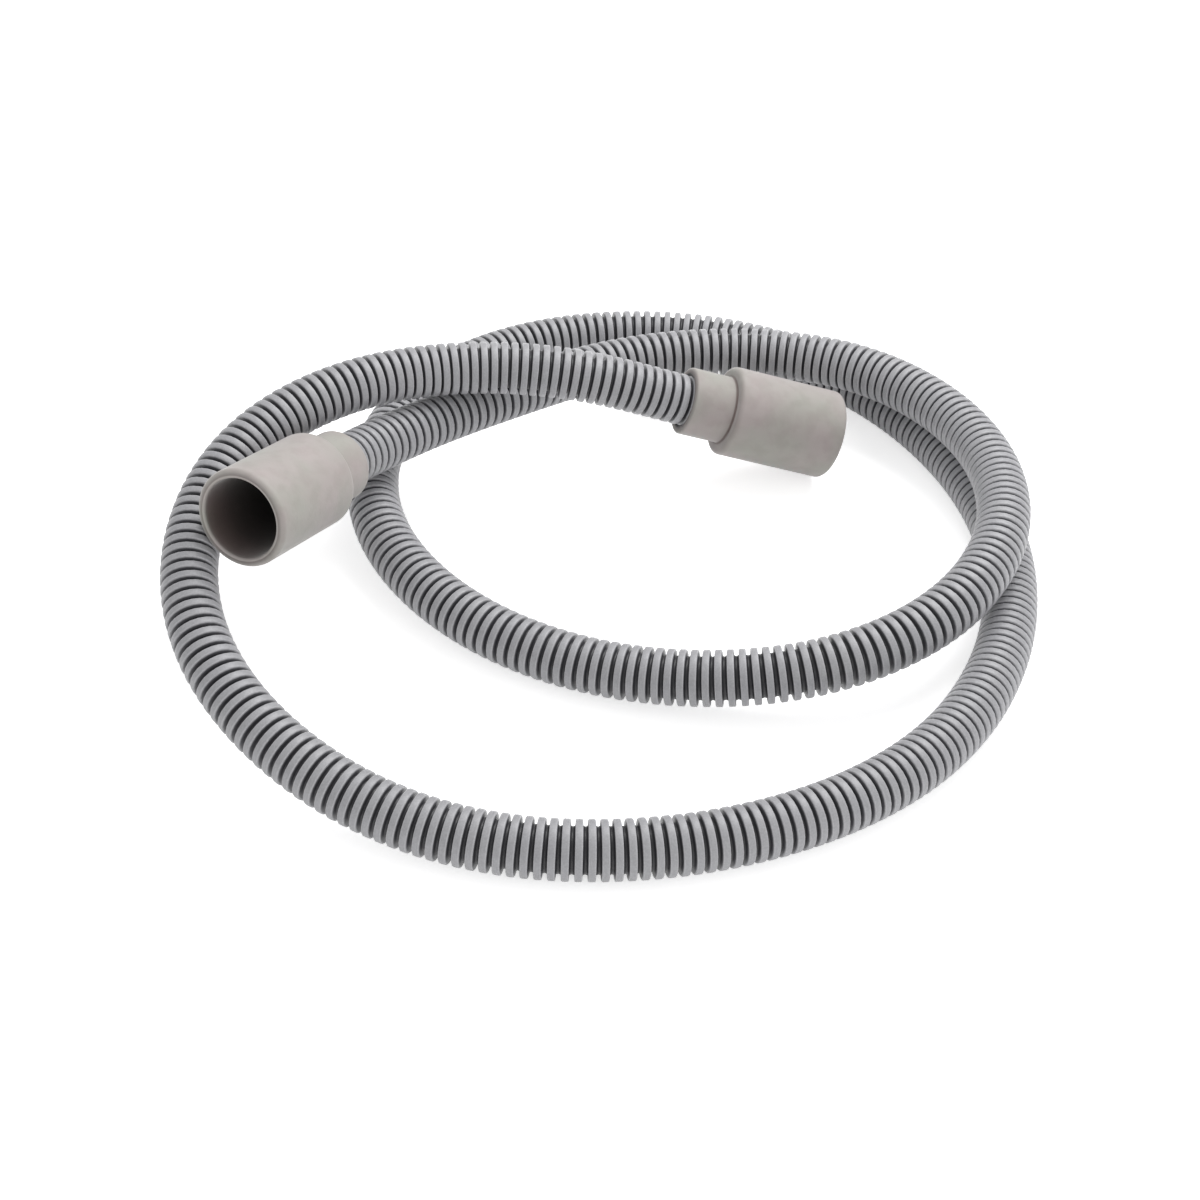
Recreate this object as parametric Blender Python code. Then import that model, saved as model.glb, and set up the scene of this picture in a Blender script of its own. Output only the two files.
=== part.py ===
"""A washer dryer pump hose: a long corrugated drain hose with a rubber cuff on each end.

The hose lies loosely coiled on a flat surface, with the middle of its footprint at the
origin and the surface at height zero. Metres, +Z up.
"""

import math

import bmesh
import bpy
import numpy as np
from mathutils import Vector

MM = 0.001
TOUCHING_GAP = 0.3 * MM

# The hose
HOSE_OD = 21.5 * MM
HOSE_STRETCHES = 76
HOSE_BEVEL_RESOLUTION = 4
CURVE_STEPS_PER_SPAN = 24

# The cuffs, measured along their own axis from the end that grips the hose
CUFF_LENGTH = 68.0 * MM
CUFF_OD = 38.0 * MM
NECK_OD = 28.5 * MM
NECK_LENGTH = 18.5 * MM
HOSE_GRIP = 20.0 * MM
SOCKET_DEPTH = 43.0 * MM
SOCKET_BORE = 31.0 * MM
WATERWAY_BORE = 15.5 * MM
NECK_BORE = HOSE_OD + 2 * TOUCHING_GAP
SHOULDER_ROUND = 0.8 * MM
MOUTH_ROUND = 2.0 * MM
NECK_ROUND = 1.0 * MM
BORE_CHAMFER = 0.5 * MM
ARC_STEPS = 3
CUFF_SIDES = 48

# How the cuffs lie: the way that the hose leaves the raised one, in plan and in slope,
# and the way that the mouth of the low one points in plan
RAISED_CUFF_HEADING = math.radians(65.0)
RAISED_CUFF_SLOPE = math.radians(-15.0)
LOW_CUFF_HEADING = math.radians(8.5)

# The route of the hose from the raised cuff to the low one. Each point is x and y in route
# units and the lift, in hose diameters, above lying on the surface.
ROUTE_UNIT = 1.0 * MM
ROUTE = [
    (-111, 7, 1.62), (-79, 52, 1.18), (-41, 87, 0.95), (0, 116, 0.78), (48, 128, 0.75),
    (97, 118, 0.86), (134, 86, 0.98), (154, 41, 1.01), (151, -9, 0.97), (124, -51, 0.77),
    (81, -73.5, 0.45), (31, -76.5, 0.15), (-17.5, -65.5, 0.03), (-62.5, -39.5, 0.10),
    (-93.5, 1.5, 0.24), (-102.5, 47, 0.30), (-93, 93, 0.24), (-65, 135, 0.13), (-22, 161, 0.04),
    (28, 167, 0), (76, 153, 0), (116, 120.5, 0), (143, 78, 0), (157, 31, 0), (157, -20, 0),
    (143, -68, 0), (116, -109, 0), (77, -139, 0), (30, -157, 0), (-20, -162, 0),
    (-69, -153, 0.10), (-113, -130, 0.46), (-146, -94, 0.97), (-160, -47, 1.48),
    (-148.5, 2, 2.01), (-116, 37.5, 2.25), (-75, 60, 2.15), (-36, 65.5, 2.05), (-3, 66.5, 1.79),
    (27, 69.5, 1.34),
]

# Colours as linear red, green and blue, and how rough each surface is
HOSE_GREY = (0.42, 0.42, 0.43)
HOSE_ROUGHNESS = 0.45
CUFF_GREY = (0.46, 0.43, 0.41)
CUFF_ROUGHNESS = 0.7


def clear_scene():
    """Remove whatever the scene holds."""
    for obj in list(bpy.data.objects):
        bpy.data.objects.remove(obj, do_unlink=True)


def make_material(name, colour, roughness):
    """A plain Principled material."""
    material = bpy.data.materials.new(name)
    material.use_nodes = True
    shader = material.node_tree.nodes["Principled BSDF"]
    shader.inputs["Base Color"].default_value = (*colour, 1.0)
    shader.inputs["Roughness"].default_value = roughness
    shader.inputs["Metallic"].default_value = 0.0
    material.diffuse_color = (*colour, 1.0)
    return material


def direction(heading, slope):
    """The unit vector with this heading in plan and this slope above the horizontal."""
    level = math.cos(slope)
    return np.array([level * math.cos(heading), level * math.sin(heading), math.sin(slope)])


def route_points():
    """The route's own points in space: a lift of one is one hose lying on another."""
    return np.array([
        (x * ROUTE_UNIT, y * ROUTE_UNIT, HOSE_OD / 2 + lift * (HOSE_OD + TOUCHING_GAP))
        for x, y, lift in ROUTE
    ])


def low_cuff_slope(end_height):
    """The slope that lays the rim of the low cuff's mouth on the surface."""
    reach = math.hypot(CUFF_LENGTH, CUFF_OD / 2)
    rim_angle = math.atan2(CUFF_OD / 2, CUFF_LENGTH)
    return rim_angle - math.asin(end_height / reach)


def smooth_curve(points, start_direction, end_direction):
    """Points along the smooth cubic curve through the route, which leaves both cuffs straight."""
    spans = np.linalg.norm(np.diff(points, axis=0), axis=1)
    count = len(points)
    matrix = np.zeros((count, count))
    target = np.zeros((count, 3))
    matrix[0, 0] = matrix[-1, -1] = 1.0
    target[0] = start_direction
    target[-1] = end_direction
    for i in range(1, count - 1):
        before, after = spans[i - 1], spans[i]
        matrix[i, i - 1:i + 2] = after, 2 * (before + after), before
        target[i] = 3 * (after / before * (points[i] - points[i - 1])
                         + before / after * (points[i + 1] - points[i]))
    slopes = np.linalg.solve(matrix, target)
    curve = []
    for i, span in enumerate(spans):
        for t in np.arange(CURVE_STEPS_PER_SPAN) / CURVE_STEPS_PER_SPAN:
            curve.append((2 * t**3 - 3 * t**2 + 1) * points[i]
                         + (t**3 - 2 * t**2 + t) * span * slopes[i]
                         + (3 * t**2 - 2 * t**3) * points[i + 1]
                         + (t**3 - t**2) * span * slopes[i + 1])
    curve.append(points[-1])
    curve = np.array(curve)
    curve[:, 2] = np.maximum(curve[:, 2], HOSE_OD / 2)
    return curve


def evenly_spaced(curve, stretches):
    """Points along the curve at equal distances."""
    steps = np.linalg.norm(np.diff(curve, axis=0), axis=1)
    distance = np.concatenate([[0.0], np.cumsum(steps)])
    stations = np.linspace(0.0, distance[-1], stretches + 1)
    return np.column_stack([np.interp(stations, distance, curve[:, k]) for k in range(3)])


def make_hose(centre_line, parent, material):
    """The hose as a round tube with closed ends along its centre line."""
    curve = bpy.data.curves.new("hose", "CURVE")
    curve.dimensions = "3D"
    curve.twist_mode = "Z_UP"
    curve.bevel_depth = HOSE_OD / 2
    curve.bevel_resolution = HOSE_BEVEL_RESOLUTION
    curve.use_fill_caps = True
    spline = curve.splines.new("POLY")
    spline.points.add(len(centre_line) - 1)
    for point, place in zip(spline.points, centre_line):
        point.co = (*place, 1.0)
    spline.use_smooth = True
    curve.materials.append(material)
    hose = bpy.data.objects.new("hose", curve)
    bpy.context.collection.objects.link(hose)
    hose.parent = parent
    return hose


def arc(radius, height, size, first, last):
    """Points of a round edge about (radius, height), between two angles in degrees."""
    angles = np.radians(np.linspace(first, last, ARC_STEPS + 1))
    return [(radius + size * math.cos(a), height + size * math.sin(a)) for a in angles]


def cuff_profile():
    """The cuff's half section as (radius, height), down its outside and up its inside."""
    neck, body = NECK_OD / 2, CUFF_OD / 2
    waterway, socket, bore = WATERWAY_BORE / 2, SOCKET_BORE / 2, NECK_BORE / 2
    socket_floor = CUFF_LENGTH - SOCKET_DEPTH
    outside = arc(body - MOUTH_ROUND, CUFF_LENGTH - MOUTH_ROUND, MOUTH_ROUND, 90, 0)
    outside += arc(body - SHOULDER_ROUND, NECK_LENGTH + SHOULDER_ROUND, SHOULDER_ROUND, 0, -90)
    outside.append((neck, NECK_LENGTH))
    outside += arc(neck - NECK_ROUND, NECK_ROUND, NECK_ROUND, 0, -90)
    inside = [
        (bore, 0.0),
        (bore, HOSE_GRIP + TOUCHING_GAP),
        (waterway, HOSE_GRIP + TOUCHING_GAP),
        (waterway, socket_floor),
        (socket, socket_floor),
        (socket, CUFF_LENGTH - BORE_CHAMFER),
        (socket + BORE_CHAMFER, CUFF_LENGTH),
    ]
    return outside + inside


def cuff_mesh(material):
    """The section of a cuff as a closed loop of edges, to be turned about its axis."""
    shape = bmesh.new()
    corners = [shape.verts.new((radius, 0.0, height)) for radius, height in cuff_profile()]
    for corner, following in zip(corners, corners[1:] + corners[:1]):
        shape.edges.new((corner, following))
    mesh = bpy.data.meshes.new("cuff")
    shape.to_mesh(mesh)
    shape.free()
    mesh.materials.append(material)
    return mesh


def make_cuff(name, mesh, place, heading, slope, parent):
    """A turned cuff with its gripping end at a place and its mouth along a direction."""
    cuff = bpy.data.objects.new(name, mesh)
    bpy.context.collection.objects.link(cuff)
    cuff.parent = parent
    cuff.location = Vector(place)
    cuff.rotation_euler = (0.0, math.pi / 2 - slope, heading)
    turn = cuff.modifiers.new("turn", "SCREW")
    turn.axis = "Z"
    turn.angle = 2 * math.pi
    turn.steps = CUFF_SIDES
    turn.render_steps = CUFF_SIDES
    turn.use_merge_vertices = True
    turn.merge_threshold = 0.00001
    turn.use_smooth_shade = True
    return cuff


def build():
    """The whole hose: its tube and the cuff on each end of it."""
    clear_scene()
    hose_plastic = make_material("grey hose plastic", HOSE_GREY, HOSE_ROUGHNESS)
    cuff_rubber = make_material("warm grey rubber", CUFF_GREY, CUFF_ROUGHNESS)

    points = route_points()
    slope_at_low_cuff = low_cuff_slope(points[-1][2])
    leaving = direction(RAISED_CUFF_HEADING, RAISED_CUFF_SLOPE)
    arriving = direction(LOW_CUFF_HEADING, slope_at_low_cuff)
    run = evenly_spaced(smooth_curve(points, leaving, arriving), HOSE_STRETCHES)
    centre_line = [run[0] - HOSE_GRIP * leaving, *run, run[-1] + HOSE_GRIP * arriving]

    whole = bpy.data.objects.new("pump_hose", None)
    bpy.context.collection.objects.link(whole)
    middle = (run.min(axis=0) + run.max(axis=0)) / 2
    whole.location = (-middle[0], -middle[1], 0.0)

    make_hose(centre_line, whole, hose_plastic)
    mesh = cuff_mesh(cuff_rubber)
    make_cuff("raised_cuff", mesh, run[0], RAISED_CUFF_HEADING + math.pi,
              -RAISED_CUFF_SLOPE, whole)
    make_cuff("low_cuff", mesh, run[-1], LOW_CUFF_HEADING, slope_at_low_cuff, whole)


build()
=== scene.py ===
import math

import bpy
import numpy as np
from mathutils import Matrix, Vector


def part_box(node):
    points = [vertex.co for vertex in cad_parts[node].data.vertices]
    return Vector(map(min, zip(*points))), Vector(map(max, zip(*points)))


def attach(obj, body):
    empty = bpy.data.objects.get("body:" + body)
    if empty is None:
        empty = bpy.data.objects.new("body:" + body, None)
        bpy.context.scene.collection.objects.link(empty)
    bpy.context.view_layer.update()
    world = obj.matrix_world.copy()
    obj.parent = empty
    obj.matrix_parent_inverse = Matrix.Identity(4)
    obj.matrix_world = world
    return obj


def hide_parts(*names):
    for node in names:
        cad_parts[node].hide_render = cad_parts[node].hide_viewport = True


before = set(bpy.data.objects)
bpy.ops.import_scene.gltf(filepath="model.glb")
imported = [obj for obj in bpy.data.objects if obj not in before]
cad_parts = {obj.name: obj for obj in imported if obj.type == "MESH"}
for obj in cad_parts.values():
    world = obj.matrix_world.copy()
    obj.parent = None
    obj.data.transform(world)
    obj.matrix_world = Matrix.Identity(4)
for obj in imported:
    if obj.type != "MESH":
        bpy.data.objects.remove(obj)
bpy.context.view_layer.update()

MM = 0.001
TOUCHING_GAP = 0.3 * MM

# The hose: square ribs that keep their width, with grooves that open as the hose stretches
HOSE_OD = 21.5 * MM
HOSE_SIDES = 24
# How far apart the ribs are, as (distance along the hose, pitch) in millimetres, and in how
# many steps they are counted
RIB_PITCHES = [
    (0, 4.5), (200, 4.65), (400, 4.0), (550, 4.6), (700, 4.4), (1000, 4.7),
    (1150, 4.3), (1280, 4.0), (1450, 4.4), (1650, 4.55), (1961, 4.1),
]
RIB_COUNT_STEPS = 2000
GROOVE_DEPTH = 2.6 * MM
HOSE_INNER_RADIUS = 7.6 * MM
# How far in the bore is made from each end
BORE_SHOWN = 35.0 * MM
# Half of a rib's outline: distance from the middle of its crest, depth below the crest, and
# painted shade, from none on the crest to one at the bottom of a groove; near the crest's edges
# it gives a painted highlight
RIB_OUTLINE = [
    (0.8 * MM, 0.0, 0.0), (1.15 * MM, 0.08 * MM, 0.22), (1.34 * MM, 0.34 * MM, 0.3),
    (1.42 * MM, 2.3 * MM, 0.9),
]
GROOVE_SHADE = 1.0

# The cuffs, measured along their own axis from the end that grips the hose
CUFF_LENGTH = 68.0 * MM
CUFF_OD = 38.0 * MM
NECK_OD = 28.5 * MM
NECK_LENGTH = 18.5 * MM
HOSE_GRIP = 20.0 * MM
SOCKET_DEPTH = 43.0 * MM
SOCKET_BORE = 31.0 * MM
WATERWAY_BORE = 15.5 * MM
NECK_BORE = HOSE_OD + 2 * TOUCHING_GAP
SHOULDER_ROUND = 2.0 * MM
MOUTH_ROUND = 2.0 * MM
NECK_ROUND = 1.0 * MM
BORE_ROUND = 0.5 * MM
LIP_ROUND = 0.9 * MM
FILLET = 0.5 * MM
CUFF_SIDES = 96
ARC_STEPS = 6
# Rings this close to each edge keep the flat parts flat when they are shaded. Parts that are
# shorter than this many times that distance get none.
EDGE_SUPPORT = 0.3 * MM
SHORTEST_SUPPORTED = 3
# Where the socket's wall has rings, as shares of its depth
SOCKET_RINGS = np.linspace(0.8, 0.05, 16)

# How much of its colour the rubber shows, with light and shade painted in: all of it on its
# open faces, painted shade on the flat rim, a painted highlight along the rim's inner edge,
# painted shade on the step behind the neck, a painted shadow at the step's foot, and darker
# round the neck's end
OPEN_TONE = 1.0
RIM_PAINTED_SHADE = 0.66
LIP_PAINTED_HIGHLIGHT = 1.2
STEP_PAINTED_SHADE = 0.86
FOOT_PAINTED_SHADOW = 0.42
NECK_EDGE_TONE = 0.7
# How far the painted shadow reaches from the step's foot, and how much of the mouth's edge is
# painted in shade
FOOT_SHADOW = 1.1 * MM
SHADED_MOUTH_RINGS = 3
# The socket's painted shade as (share of its depth, tone): less light reaches deeper in
SOCKET_PAINTED_SHADE = [(0.0, 0.6), (0.06, 0.36), (0.15, 0.26), (0.35, 0.14), (0.7, 0.07), (1.0, 0.05)]
# Painted light and shade on the whole of each cuff: the low cuff is painted a little darker than
# the raised one
RAISED_CUFF_PAINTED_LIGHT = 1.02
LOW_CUFF_PAINTED_SHADE = 0.94

# How the cuffs lie, and the hose's route between them, as the solids have them
RAISED_CUFF_HEADING = math.radians(65.0)
RAISED_CUFF_SLOPE = math.radians(-15.0)
LOW_CUFF_HEADING = math.radians(8.5)
CURVE_STEPS_PER_SPAN = 24
# Each point is x and y in route units and the lift, in hose diameters, above the surface
ROUTE_UNIT = 1.0 * MM
ROUTE = [
    (-111, 7, 1.62), (-79, 52, 1.18), (-41, 87, 0.95), (0, 116, 0.78), (48, 128, 0.75),
    (97, 118, 0.86), (134, 86, 0.98), (154, 41, 1.01), (151, -9, 0.97), (124, -51, 0.77),
    (81, -73.5, 0.45), (31, -76.5, 0.15), (-17.5, -65.5, 0.03), (-62.5, -39.5, 0.10),
    (-93.5, 1.5, 0.24), (-102.5, 47, 0.30), (-93, 93, 0.24), (-65, 135, 0.13), (-22, 161, 0.04),
    (28, 167, 0), (76, 153, 0), (116, 120.5, 0), (143, 78, 0), (157, 31, 0), (157, -20, 0),
    (143, -68, 0), (116, -109, 0), (77, -139, 0), (30, -157, 0), (-20, -162, 0),
    (-69, -153, 0.10), (-113, -130, 0.46), (-146, -94, 0.97), (-160, -47, 1.48),
    (-148.5, 2, 2.01), (-116, 37.5, 2.25), (-75, 60, 2.15), (-36, 65.5, 2.05), (-3, 66.5, 1.79),
    (27, 69.5, 1.34),
]

# The camera, over the same plane as the route; the lens and the sensor are in millimetres
CAMERA_PLACE = (-5.8 * MM, -612.1 * MM, 498.9 * MM)
CAMERA_DOWN = math.radians(39.93)
CAMERA_ROLL = math.radians(1.84)
CAMERA_LENS = 57.97
CAMERA_SENSOR = 36.0
CAMERA_CLIP = (0.01, 50.0)

# Colours as linear red, green and blue
WHITE = (1.0, 1.0, 1.0)
HOSE_CREST = (0.39, 0.39, 0.405)
# The ribs' edges are painted lighter as a highlight, and their sides and grooves darker as shade
HOSE_EDGE_HIGHLIGHT = (0.50, 0.50, 0.515)
HOSE_SIDE = (0.12, 0.12, 0.13)
HOSE_GROOVE_SHADE = (0.04, 0.04, 0.045)
CUFF_WARM = (0.405, 0.358, 0.348)
CUFF_COOL = (0.366, 0.360, 0.325)
# The reddish tint that the painted shade takes on, strongest where the tone is lowest
SOCKET_SHADE_TINT = (1.0, 0.76, 0.73)
FLOOR_WHITE = (0.95, 0.95, 0.95)

# Colour ramps as (position, colour) stops
HOSE_SHADES = [
    (0.0, HOSE_CREST), (0.22, HOSE_EDGE_HIGHLIGHT), (0.3, HOSE_EDGE_HIGHLIGHT), (0.5, HOSE_SIDE), (0.9, HOSE_GROOVE_SHADE),
]
HOSE_CLOUD_TINTS = [(0.3, (0.93, 0.93, 0.94)), (0.7, WHITE)]
HOSE_SPECK_TINTS = [(0.35, (0.86, 0.86, 0.86)), (0.65, WHITE)]
CUFF_CLOUD_COLOURS = [(0.35, CUFF_WARM), (0.65, CUFF_COOL)]
CUFF_STAIN_TINTS = [(0.38, (0.93, 0.92, 0.915)), (0.56, WHITE)]
SOCKET_SHADE_TINTS = [(0.2, SOCKET_SHADE_TINT), (0.75, WHITE)]

# Noise patterns as (scale per metre, detail), and fine relief as (strength, depth)
HOSE_CLOUDS = (60.0, 3.0)
HOSE_SPECKS = (1500.0, 2.0)
HOSE_GRAIN = (1800.0, 2.0)
HOSE_RELIEF = (0.12, 0.2 * MM)
CUFF_CLOUDS = (45.0, 3.0)
CUFF_STAINS = (160.0, 6.0)
CUFF_SMEARS = (120.0, 3.0)
CUFF_GRAIN = (900.0, 4.0)
CUFF_RELIEF = (0.15, 0.3 * MM)

# How the surfaces shine; the rubber's roughness varies between two values
HOSE_ROUGHNESS = 0.42
CUFF_ROUGHNESS = (0.55, 0.72)
CUFF_SHEEN = 0.6
CUFF_SHEEN_ROUGHNESS = 0.4

# The floor and the light. A lamp is its place, the length of its sides and its watts.
FLOOR_REACH = 6.0
FLOOR_DROP = 0.1 * MM
FLOOR_GLOW = 0.6
SURROUND_LIGHT = 0.62
SURROUND_SEEN = 1.0
KEY_LAMP = ((0.3, 0.45, 0.9), 0.7, 8.6)
FILL_LAMP = ((0.5, -1.2, 0.42), 0.8, 2.2)


def direction(heading, slope):
    """The unit vector with this heading in plan and this slope above the horizontal."""
    level = math.cos(slope)
    return np.array([level * math.cos(heading), level * math.sin(heading), math.sin(slope)])


def route_points():
    """The route's own points in space: a lift of one is one hose lying on another."""
    return np.array([
        (x * ROUTE_UNIT, y * ROUTE_UNIT, HOSE_OD / 2 + lift * (HOSE_OD + TOUCHING_GAP))
        for x, y, lift in ROUTE
    ])


def low_cuff_slope(end_height):
    """The slope that lays the rim of the low cuff's mouth on the surface."""
    reach = math.hypot(CUFF_LENGTH, CUFF_OD / 2)
    rim_angle = math.atan2(CUFF_OD / 2, CUFF_LENGTH)
    return rim_angle - math.asin(end_height / reach)


def smooth_curve(points, start_direction, end_direction):
    """Points along the smooth cubic curve through the route, which leaves both cuffs straight."""
    spans = np.linalg.norm(np.diff(points, axis=0), axis=1)
    count = len(points)
    matrix = np.zeros((count, count))
    target = np.zeros((count, 3))
    matrix[0, 0] = matrix[-1, -1] = 1.0
    target[0] = start_direction
    target[-1] = end_direction
    for i in range(1, count - 1):
        before, after = spans[i - 1], spans[i]
        matrix[i, i - 1:i + 2] = after, 2 * (before + after), before
        target[i] = 3 * (after / before * (points[i] - points[i - 1])
                         + before / after * (points[i + 1] - points[i]))
    slopes = np.linalg.solve(matrix, target)
    curve = []
    for i, span in enumerate(spans):
        for t in np.arange(CURVE_STEPS_PER_SPAN) / CURVE_STEPS_PER_SPAN:
            curve.append((2 * t**3 - 3 * t**2 + 1) * points[i]
                         + (t**3 - 2 * t**2 + t) * span * slopes[i]
                         + (3 * t**2 - 2 * t**3) * points[i + 1]
                         + (t**3 - t**2) * span * slopes[i + 1])
    curve.append(points[-1])
    curve = np.array(curve)
    curve[:, 2] = np.maximum(curve[:, 2], HOSE_OD / 2)
    return curve


class CentreLine:
    """The hose's centre line by distance along it, with the straight ends inside the cuffs."""

    def __init__(self, curve, leaving, arriving):
        back_end, front_end = curve[0] - HOSE_GRIP * leaving, curve[-1] + HOSE_GRIP * arriving
        self.points = np.vstack([back_end, curve, front_end])
        steps = np.linalg.norm(np.diff(self.points, axis=0), axis=1)
        self.distance = np.concatenate([[0.0], np.cumsum(steps)])
        self.length = self.distance[-1]
        tangents = np.gradient(curve, self.distance[1:-1], axis=0)
        tangents[0], tangents[-1] = leaving, arriving
        self.tangents = np.vstack([leaving, tangents, arriving])

    def read(self, values, along):
        """Values that are known at the points, at distances along the line."""
        return np.column_stack([np.interp(along, self.distance, values[:, k]) for k in range(3)])

    def frames(self, along):
        """Places, tangents, sideways and upward vectors at distances along the line."""
        place = self.read(self.points, along)
        tangent = self.read(self.tangents, along)
        tangent /= np.linalg.norm(tangent, axis=1)[:, None]
        side = np.cross(tangent, (0.0, 0.0, 1.0))
        side /= np.linalg.norm(side, axis=1)[:, None]
        return place, tangent, side, np.cross(side, tangent)


def add_mesh(name, verts, faces, material):
    """A smooth shaded mesh object in the scene."""
    mesh = bpy.data.meshes.new(name)
    mesh.from_pydata(verts, [], faces)
    mesh.shade_smooth()
    mesh.materials.append(material)
    obj = bpy.data.objects.new(name, mesh)
    bpy.context.collection.objects.link(obj)
    return obj


def ring_faces(rings, sides, closed=False):
    """Quads that join each ring of points to the next one, and the last to the first if closed."""
    ring = np.arange(rings if closed else rings - 1)[:, None] * sides
    following = (ring + sides) % (rings * sides)
    here = np.arange(sides)[None, :]
    turned = (here + 1) % sides
    quads = np.stack([ring + here, ring + turned, following + turned, following + here], axis=-1)
    return quads.reshape(-1, 4).tolist()


def rib_edges(length):
    """The distances along the hose at which one rib ends and the next begins."""
    places, pitches = np.array(RIB_PITCHES).T * MM
    along = np.linspace(0.0, length, RIB_COUNT_STEPS)
    ribs_in_steps = np.diff(along) / np.interp(along[1:], places, pitches)
    ribs = np.concatenate([[0.0], np.cumsum(ribs_in_steps)])
    count = round(ribs[-1])
    return np.interp(np.arange(count + 1), ribs * count / ribs[-1], along)


def hose_stations(length):
    """Every ring of the hose as (distance of its rib, shift from there, radius, shade)."""
    crest = HOSE_OD / 2
    edges = rib_edges(length)
    stations = []
    for rib, (back, front) in enumerate(zip(edges, edges[1:])):
        middle = (back + front) / 2
        for shift, depth, shade in reversed(RIB_OUTLINE):
            stations.append((middle, -shift, crest - depth, shade))
        for shift, depth, shade in RIB_OUTLINE:
            stations.append((middle, shift, crest - depth, shade))
        if rib < len(edges) - 2:
            stations.append((front, 0.0, crest - GROOVE_DEPTH, GROOVE_SHADE))
    # The bore at each end gets the groove's full painted shade
    start = [
        (BORE_SHOWN, 0.0, HOSE_INNER_RADIUS, GROOVE_SHADE),
        (0.0, 0.0, HOSE_INNER_RADIUS, GROOVE_SHADE),
        (0.0, 0.0, crest - GROOVE_DEPTH, GROOVE_SHADE),
    ]
    end = [
        (length, 0.0, crest - GROOVE_DEPTH, GROOVE_SHADE),
        (length, 0.0, HOSE_INNER_RADIUS, GROOVE_SHADE),
        (length - BORE_SHOWN, 0.0, HOSE_INNER_RADIUS, GROOVE_SHADE),
    ]
    return np.array(start + stations + end)


def make_hose(line, material):
    """The ribbed hose. Its ribs keep their width in a bend, and the grooves open and close."""
    stations = hose_stations(line.length)
    place, tangent, side, up = line.frames(stations[:, 0])
    centres = place + tangent * stations[:, 1:2]
    angles = np.arange(HOSE_SIDES) * 2 * math.pi / HOSE_SIDES
    radii = stations[:, 2][:, None, None]
    around = (side[:, None, :] * np.cos(angles)[None, :, None]
              + up[:, None, :] * np.sin(angles)[None, :, None])
    verts = (centres[:, None, :] + radii * around).reshape(-1, 3)
    rings = len(stations)
    faces = ring_faces(rings, HOSE_SIDES)
    faces.append(list(range(HOSE_SIDES))[::-1])
    faces.append(list(range((rings - 1) * HOSE_SIDES, rings * HOSE_SIDES)))
    hose = add_mesh("ribbed_hose", verts.tolist(), faces, material)
    # The rib shade paints a highlight on the ribs' edges and shade down their sides and grooves
    shade = hose.data.attributes.new("rib_shade", "FLOAT", "POINT")
    shade.data.foreach_set("value", np.repeat(stations[:, 3], HOSE_SIDES))
    return hose


def arc(radius, height, size, first, last):
    """Points of a round edge about (radius, height), between two angles in degrees."""
    angles = np.radians(np.linspace(first, last, ARC_STEPS + 1))
    return [(radius + size * math.cos(a), height + size * math.sin(a)) for a in angles]


def toned(points, first, last):
    """Points with a tone each, which goes evenly from one tone to another."""
    return [(*point, tone) for point, tone in zip(points, np.linspace(first, last, len(points)))]


def socket_painted_shade(height):
    """Painted shade on the socket's wall at a height: light at the mouth and dark at the floor."""
    depths, tones = zip(*SOCKET_PAINTED_SHADE)
    return float(np.interp((CUFF_LENGTH - height) / SOCKET_DEPTH, depths, tones))


def supported(rows):
    """Rows with one more close to each end of every long flat stretch."""
    result = []
    for here, following in zip(rows, np.roll(rows, -1, axis=0)):
        result.append(here)
        reach = math.hypot(*(following - here)[:2])
        if reach > SHORTEST_SUPPORTED * EDGE_SUPPORT:
            for part in (EDGE_SUPPORT / reach, 1 - EDGE_SUPPORT / reach):
                result.append(here + (following - here) * part)
    return np.array(result)


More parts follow.
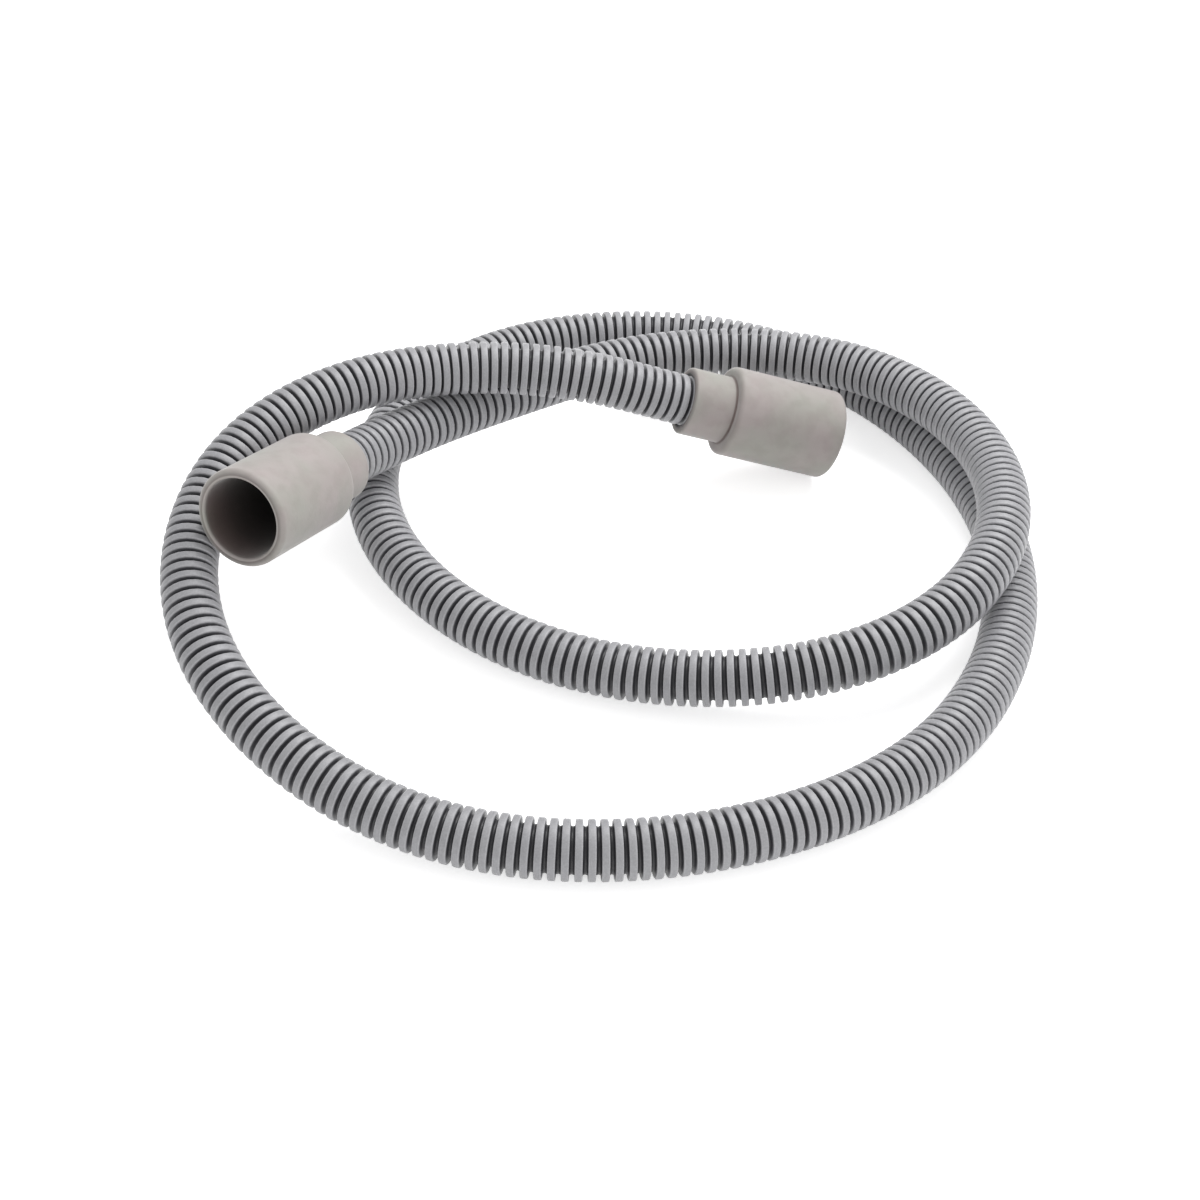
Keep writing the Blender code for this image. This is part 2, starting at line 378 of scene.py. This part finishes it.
def cuff_profile():
    """The cuff's half section as (radius, height, tone), down its outside and up its inside."""
    neck, body = NECK_OD / 2, CUFF_OD / 2
    waterway, socket, bore = WATERWAY_BORE / 2, SOCKET_BORE / 2, NECK_BORE / 2
    socket_floor = CUFF_LENGTH - SOCKET_DEPTH
    grip_end = HOSE_GRIP + TOUCHING_GAP
    mouth = arc(body - MOUTH_ROUND, CUFF_LENGTH - MOUTH_ROUND, MOUTH_ROUND, 90, 0)
    shoulder = arc(body - SHOULDER_ROUND, NECK_LENGTH + SHOULDER_ROUND, SHOULDER_ROUND, 0, -90)
    foot = arc(neck + FILLET, NECK_LENGTH - FILLET, FILLET, 90, 180)
    neck_end = arc(neck - NECK_ROUND, NECK_ROUND, NECK_ROUND, 0, -90)
    # Painted shade on the mouth's edge, the rim and the step, a painted highlight on the lip and a
    # painted shadow at the step's foot
    rows = toned(mouth[:SHADED_MOUTH_RINGS], RIM_PAINTED_SHADE, OPEN_TONE)
    rows += toned(mouth[SHADED_MOUTH_RINGS:], OPEN_TONE, OPEN_TONE)
    rows += toned(shoulder, OPEN_TONE, STEP_PAINTED_SHADE)
    rows.append((neck + FOOT_SHADOW, NECK_LENGTH, STEP_PAINTED_SHADE))
    rows += toned(foot, FOOT_PAINTED_SHADOW, FOOT_PAINTED_SHADOW)
    rows.append((neck, NECK_LENGTH - FOOT_SHADOW, OPEN_TONE))
    rows += toned(neck_end, OPEN_TONE, NECK_EDGE_TONE)
    inside = [(bore + BORE_ROUND, 0.0), (bore, BORE_ROUND), (bore, grip_end), (waterway, grip_end)]
    inside += arc(waterway + BORE_ROUND, socket_floor - BORE_ROUND, BORE_ROUND, 180, 90)
    inside += arc(socket - FILLET, socket_floor + FILLET, FILLET, -90, 0)
    for share in SOCKET_RINGS:
        inside.append((socket, CUFF_LENGTH - share * SOCKET_DEPTH))
    rows += [(*point, socket_painted_shade(max(point[1], socket_floor))) for point in inside]
    lip = arc(socket + LIP_ROUND, CUFF_LENGTH - LIP_ROUND, LIP_ROUND, 180, 90)
    rows += toned(lip, SOCKET_PAINTED_SHADE[0][1], LIP_PAINTED_HIGHLIGHT)
    rows.append((socket + LIP_ROUND + EDGE_SUPPORT, CUFF_LENGTH, RIM_PAINTED_SHADE))
    return supported(np.array(rows))


def make_cuff(name, place, axis, material, painted_light_share):
    """A turned cuff with its gripping end at a place and its mouth along an axis."""
    profile = cuff_profile()
    rings = len(profile)
    angles = np.arange(CUFF_SIDES) * 2 * math.pi / CUFF_SIDES
    radius, height = profile[:, 0][:, None], profile[:, 1][:, None]
    height = np.broadcast_to(height, (rings, CUFF_SIDES))
    verts = np.stack([radius * np.cos(angles), radius * np.sin(angles), height], axis=-1)
    verts = verts.reshape(-1, 3)
    faces = [face[::-1] for face in ring_faces(rings, CUFF_SIDES, closed=True)]
    cuff = add_mesh(name, verts.tolist(), faces, material)
    tone = cuff.data.attributes.new("tone", "FLOAT", "POINT")
    # The tones carry painted light and shade, scaled by the cuff's share of painted light
    tone.data.foreach_set("value", np.repeat(profile[:, 2] * painted_light_share, CUFF_SIDES))
    side = np.cross((0.0, 0.0, 1.0), axis)
    side /= np.linalg.norm(side)
    lift = np.cross(axis, side)
    cuff.matrix_world = Matrix.Translation(place) @ Matrix(
        [(side[k], lift[k], axis[k]) for k in range(3)]).to_4x4()
    return cuff


class Nodes:
    """A short way to write a material's nodes."""

    def __init__(self, name):
        self.material = bpy.data.materials.new(name)
        self.material.use_nodes = True
        self.tree = self.material.node_tree
        self.shader = self.tree.nodes["Principled BSDF"]

    def add(self, kind, **settings):
        """A new node of a kind, with its settings."""
        node = self.tree.nodes.new("ShaderNode" + kind)
        for key, value in settings.items():
            setattr(node, key, value)
        return node

    def link(self, output, target):
        """A link from an output to an input."""
        self.tree.links.new(output, target)

    def noise(self, pattern):
        """The output of a noise pattern in the piece's own coordinates."""
        scale, detail = pattern
        where = self.add("TexCoord")
        noise = self.add("TexNoise")
        noise.inputs["Scale"].default_value = scale
        noise.inputs["Detail"].default_value = detail
        self.link(where.outputs["Object"], noise.inputs["Vector"])
        return noise.outputs["Fac"]

    def ramp(self, source, stops):
        """The colour of a ramp through (position, colour) stops."""
        ramp = self.add("ValToRGB")
        elements = ramp.color_ramp.elements
        while len(elements) < len(stops):
            elements.new(0.5)
        for element, (position, colour) in zip(elements, stops):
            element.position = position
            element.color = (*colour, 1.0)
        self.link(source, ramp.inputs["Fac"])
        return ramp.outputs["Color"]

    def bump(self, source, relief):
        """Fine relief from a texture."""
        strength, distance = relief
        bump = self.add("Bump")
        bump.inputs["Strength"].default_value = strength
        bump.inputs["Distance"].default_value = distance
        self.link(source, bump.inputs["Height"])
        self.link(bump.outputs["Normal"], self.shader.inputs["Normal"])

    def multiply(self, first, second):
        """Two colours multiplied."""
        mix = self.add("Mix", data_type="RGBA", blend_type="MULTIPLY")
        sockets = {socket.identifier: socket for socket in mix.inputs}
        sockets["Factor_Float"].default_value = 1.0
        self.link(first, sockets["A_Color"])
        self.link(second, sockets["B_Color"])
        return next(socket for socket in mix.outputs if socket.identifier == "Result_Color")


def hose_material():
    """Satin grey plastic with painted highlights on the ribs' edges and painted shade in the
    grooves.
    """
    nodes = Nodes("satin grey hose plastic")
    shade = nodes.add("Attribute", attribute_name="rib_shade")
    by_shade = nodes.ramp(shade.outputs["Fac"], HOSE_SHADES)
    clouded = nodes.multiply(by_shade, nodes.ramp(nodes.noise(HOSE_CLOUDS), HOSE_CLOUD_TINTS))
    speckled = nodes.multiply(clouded, nodes.ramp(nodes.noise(HOSE_SPECKS), HOSE_SPECK_TINTS))
    nodes.link(speckled, nodes.shader.inputs["Base Color"])
    nodes.shader.inputs["Roughness"].default_value = HOSE_ROUGHNESS
    nodes.bump(nodes.noise(HOSE_GRAIN), HOSE_RELIEF)
    return nodes.material


def cuff_material():
    """Matt warm grey rubber with faint clouds and stains, and painted light and shade, darkest in
    the socket.
    """
    nodes = Nodes("matt warm grey rubber")
    tone = nodes.add("Attribute", attribute_name="tone")
    clouds = nodes.ramp(nodes.noise(CUFF_CLOUDS), CUFF_CLOUD_COLOURS)
    # Where the tone is low, the painted shade is tinted
    tinted = nodes.multiply(clouds, nodes.ramp(tone.outputs["Fac"], SOCKET_SHADE_TINTS))
    stained = nodes.multiply(tinted, nodes.ramp(nodes.noise(CUFF_STAINS), CUFF_STAIN_TINTS))
    # The tone scales the colour: the painted light and shade go in here
    scaled = nodes.add("VectorMath", operation="SCALE")
    nodes.link(stained, scaled.inputs[0])
    nodes.link(tone.outputs["Fac"], scaled.inputs["Scale"])
    nodes.link(scaled.outputs["Vector"], nodes.shader.inputs["Base Color"])
    gloss = nodes.add("MapRange")
    gloss.inputs["To Min"].default_value, gloss.inputs["To Max"].default_value = CUFF_ROUGHNESS
    nodes.link(nodes.noise(CUFF_SMEARS), gloss.inputs["Value"])
    nodes.link(gloss.outputs["Result"], nodes.shader.inputs["Roughness"])
    nodes.shader.inputs["Sheen Weight"].default_value = CUFF_SHEEN
    nodes.shader.inputs["Sheen Roughness"].default_value = CUFF_SHEEN_ROUGHNESS
    nodes.bump(nodes.noise(CUFF_GRAIN), CUFF_RELIEF)
    return nodes.material


def floor_material():
    """A plain white floor that keeps a soft shadow. A camera or a mirror sees it glow."""
    nodes = Nodes("white floor")
    nodes.shader.inputs["Base Color"].default_value = (*FLOOR_WHITE, 1.0)
    nodes.shader.inputs["Roughness"].default_value = 1.0
    nodes.shader.inputs["Specular IOR Level"].default_value = 0.0
    path = nodes.add("LightPath")
    seen = nodes.add("Math", operation="MAXIMUM")
    nodes.link(path.outputs["Is Camera Ray"], seen.inputs[0])
    nodes.link(path.outputs["Is Glossy Ray"], seen.inputs[1])
    strength = nodes.add("Math", operation="MULTIPLY")
    strength.inputs[1].default_value = FLOOR_GLOW
    nodes.link(seen.outputs[0], strength.inputs[0])
    glow = nodes.add("Emission")
    nodes.link(strength.outputs[0], glow.inputs["Strength"])
    total = nodes.add("AddShader")
    nodes.link(nodes.shader.outputs[0], total.inputs[0])
    nodes.link(glow.outputs[0], total.inputs[1])
    nodes.link(total.outputs[0], nodes.tree.nodes["Material Output"].inputs["Surface"])
    return nodes.material


def make_floor():
    """The surface that the hose lies on."""
    corners = [
        (-FLOOR_REACH, -FLOOR_REACH, 0.0), (FLOOR_REACH, -FLOOR_REACH, 0.0),
        (FLOOR_REACH, FLOOR_REACH, 0.0), (-FLOOR_REACH, FLOOR_REACH, 0.0),
    ]
    floor = add_mesh("floor", corners, [(0, 1, 2, 3)], floor_material())
    floor.location.z = -FLOOR_DROP


def make_world():
    """An even white surround."""
    world = bpy.data.worlds.new("white surround")
    world.use_nodes = True
    background = world.node_tree.nodes["Background"]
    background.inputs["Color"].default_value = (*WHITE, 1.0)
    path = world.node_tree.nodes.new("ShaderNodeLightPath")
    strength = world.node_tree.nodes.new("ShaderNodeMapRange")
    strength.inputs["To Min"].default_value = SURROUND_LIGHT
    strength.inputs["To Max"].default_value = SURROUND_SEEN
    world.node_tree.links.new(path.outputs["Is Camera Ray"], strength.inputs["Value"])
    world.node_tree.links.new(strength.outputs["Result"], background.inputs["Strength"])
    bpy.context.scene.world = world


def make_lamp(name, place, size, watts):
    """A soft square lamp that looks at the hose."""
    light = bpy.data.lights.new(name, "AREA")
    light.size = size
    light.energy = watts
    lamp = bpy.data.objects.new(name, light)
    bpy.context.collection.objects.link(lamp)
    lamp.location = place
    lamp.rotation_euler = (-Vector(place)).to_track_quat("-Z", "Y").to_euler()


def make_camera(shift):
    """The photograph's viewpoint."""
    data = bpy.data.cameras.new("camera")
    data.sensor_width = CAMERA_SENSOR
    data.lens = CAMERA_LENS
    data.clip_start, data.clip_end = CAMERA_CLIP
    camera = bpy.data.objects.new("camera", data)
    bpy.context.collection.objects.link(camera)
    tilt = Matrix.Rotation(math.pi / 2 - CAMERA_DOWN, 4, "X")
    turn = tilt @ Matrix.Rotation(CAMERA_ROLL, 4, "Z")
    camera.matrix_world = Matrix.Translation(np.array(CAMERA_PLACE) + shift) @ turn
    bpy.context.scene.camera = camera


points = route_points()
slope = low_cuff_slope(points[-1][2])
leaving = direction(RAISED_CUFF_HEADING, RAISED_CUFF_SLOPE)
arriving = direction(LOW_CUFF_HEADING, slope)
curve = smooth_curve(points, leaving, arriving)
# The solids stand over the middle of their footprint
in_plan = np.array([1.0, 1.0, 0.0])
middle = np.array(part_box("hose")).mean(axis=0)
shift = (middle - (curve.min(axis=0) + curve.max(axis=0)) / 2) * in_plan
make_camera(shift)
line = CentreLine(curve + shift, leaving, arriving)

hose = make_hose(line, hose_material())
rubber = cuff_material()
raised_cuff = make_cuff(
    "raised_rubber_cuff", curve[0] + shift, -leaving, rubber, RAISED_CUFF_PAINTED_LIGHT)
low_cuff = make_cuff("low_rubber_cuff", curve[-1] + shift, arriving, rubber, LOW_CUFF_PAINTED_SHADE)
for piece, node, slot in (
    (hose, "hose", "hose"), (raised_cuff, "raised_cuff", "cuff"), (low_cuff, "low_cuff", "cuff")
):
    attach(piece, "root")
    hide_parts(node)

make_floor()
make_world()
make_lamp("key", *KEY_LAMP)
make_lamp("fill", *FILL_LAMP)
bpy.context.scene.view_settings.view_transform = "Standard"
